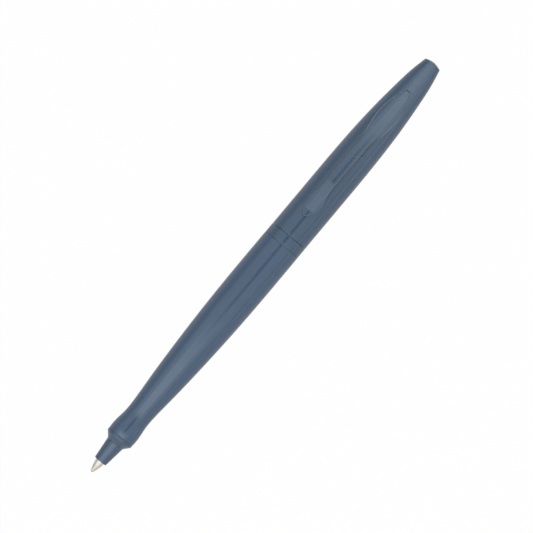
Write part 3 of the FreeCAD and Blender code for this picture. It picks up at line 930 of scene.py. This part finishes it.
# Each lamp has two corners of its sheet, a height, a radiance and a tilt.
LAMPS = {
    "left ceiling": (WIDE_LOW, (OPEN_LOW[0], WIDE_HIGH[1]), LEVEL, CEILING, FACING_DOWN),
    "right ceiling": ((OPEN_HIGH[0], WIDE_LOW[1]), WIDE_HIGH, LEVEL, CEILING, FACING_DOWN),
    "near ceiling": (
        (OPEN_LOW[0], WIDE_LOW[1]), (OPEN_HIGH[0], OPEN_LOW[1]), LEVEL, CEILING, FACING_DOWN
    ),
    "far ceiling": (
        (OPEN_LOW[0], OPEN_HIGH[1]), (OPEN_HIGH[0], WIDE_HIGH[1]), LEVEL, CEILING, FACING_DOWN
    ),
    "far fringe": ((-1.6, 1.1), (1.6, 1.9), LEVEL, 0.6, FACING_DOWN),
    "point end lamp": ((-0.45, -0.45), (-0.125, 0.36), LEVEL - 0.01, 0.75, FACING_DOWN),
    "point end glow": ((-0.60, -0.90), (-0.11, 0.80), LEVEL - 0.02, 0.25, FACING_DOWN),
    "top end lamp": ((0.24, -0.45), (0.65, 0.36), LEVEL - 0.01, 0.33, FACING_DOWN),
    "top end glow": ((0.235, -0.35), (0.36, 0.26), LEVEL - 0.02, 0.25, FACING_DOWN),
    "top end wash": ((0.23, -1.60), (0.90, 0.75), LEVEL - 0.03, 0.40, FACING_DOWN),
    "near panel": ((-1.2, -2.01), (1.6, -1.39), 0.36, 0.80, FACING_FAR),
    "near wash": ((0.10, -1.97), (1.2, -1.35), 0.38, 0.22, FACING_FAR),
    "far panel": ((-1.2, 1.80), (1.6, 2.40), 0.42, 0.5, FACING_NEAR),
    "end panel": ((-1.66, -0.9), (-0.94, 0.9), 0.36, 0.8, FACING_TOP_END),
}


def add_softbox(name, low, high, height, radiance, tilt):
    """A flat lamp between two corners of its sheet, turned about its middle by a tilt."""
    lamp = bpy.data.lights.new(name, "AREA")
    lamp.shape = "RECTANGLE"
    lamp.size = high[0] - low[0]
    lamp.size_y = high[1] - low[1]
    lamp.energy = radiance * math.pi * lamp.size * lamp.size_y
    holder = bpy.data.objects.new(name, lamp)
    holder.location = ((low[0] + high[0]) / 2, (low[1] + high[1]) / 2, height)
    holder.rotation_euler = tilt
    holder.visible_camera = False
    bpy.context.scene.collection.objects.link(holder)


def light_the_pen():
    """The lamps, and a dim grey room round them."""
    for name, (low, high, height, radiance, tilt) in LAMPS.items():
        add_softbox(name, low, high, height, radiance, tilt)
    world = bpy.data.worlds.new("room")
    world.use_nodes = True
    grey = (ROOM_GREY, ROOM_GREY, ROOM_GREY, 1)
    world.node_tree.nodes["Background"].inputs["Color"].default_value = grey
    bpy.context.scene.world = world


# camera
# The camera looks down, rolled a little about the pen. In the picture the pen leans by an
# angle with this cosine and sine, and the middle of the picture is off the pen's middle by
# this many pixels to the right and up. Lens and sensor are in millimetres. Distances, and the
# width of a pixel on the pen, are in metres.
ROLL = math.radians(4.5)
LEAN = (0.64218, 0.76655)
CAMERA_DISTANCE = 0.7768
PIXEL = 0.0002627
SHIFT = (3.80, 0.72)
LENS = 200
SENSOR = 36
NEAREST = 0.01


def add_camera():
    """The camera, turned so that the pen's top end points to the upper right."""
    along_pen = Vector((1, 0, 0))
    across = Vector((0, math.cos(ROLL), math.sin(ROLL)))
    back = Vector((0, -math.sin(ROLL), math.cos(ROLL)))
    right = LEAN[0] * along_pen - LEAN[1] * across
    up = LEAN[1] * along_pen + LEAN[0] * across
    axis_middle = Vector((0, 0, AXIS_HEIGHT / PER_METRE))
    aim = axis_middle + SHIFT[0] * PIXEL * right + SHIFT[1] * PIXEL * up
    camera = bpy.data.objects.new("camera", bpy.data.cameras.new("camera"))
    camera.data.lens = LENS
    camera.data.sensor_width = SENSOR
    camera.data.clip_start = NEAREST
    camera.rotation_mode = "QUATERNION"
    camera.location = aim + back * CAMERA_DISTANCE
    camera.rotation_quaternion = Matrix((right, up, back)).transposed().to_quaternion()
    bpy.context.scene.collection.objects.link(camera)
    bpy.context.scene.camera = camera


# the pen
SHOWN = {
    "lower_barrel": (make_lower_barrel, BARREL_SLATE),
    "nose_cone": (make_nose_cone, SLATE),
    "centre_band": (make_centre_band, SLATE),
    "upper_barrel": (make_upper_barrel, SLATE),
    "clip": (make_clip, SLATE),
    "writing_tip": (make_writing_tip, POINT_METAL),
}

for node, (make, material) in SHOWN.items():
    piece = make(material)
    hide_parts(node)

for node, material in HIDDEN.items():
    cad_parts[node].data.materials[0] = material

make_table()
light_the_pen()
add_camera()
bpy.context.scene.view_settings.view_transform = "Standard"

bpy.context.view_layer.update()
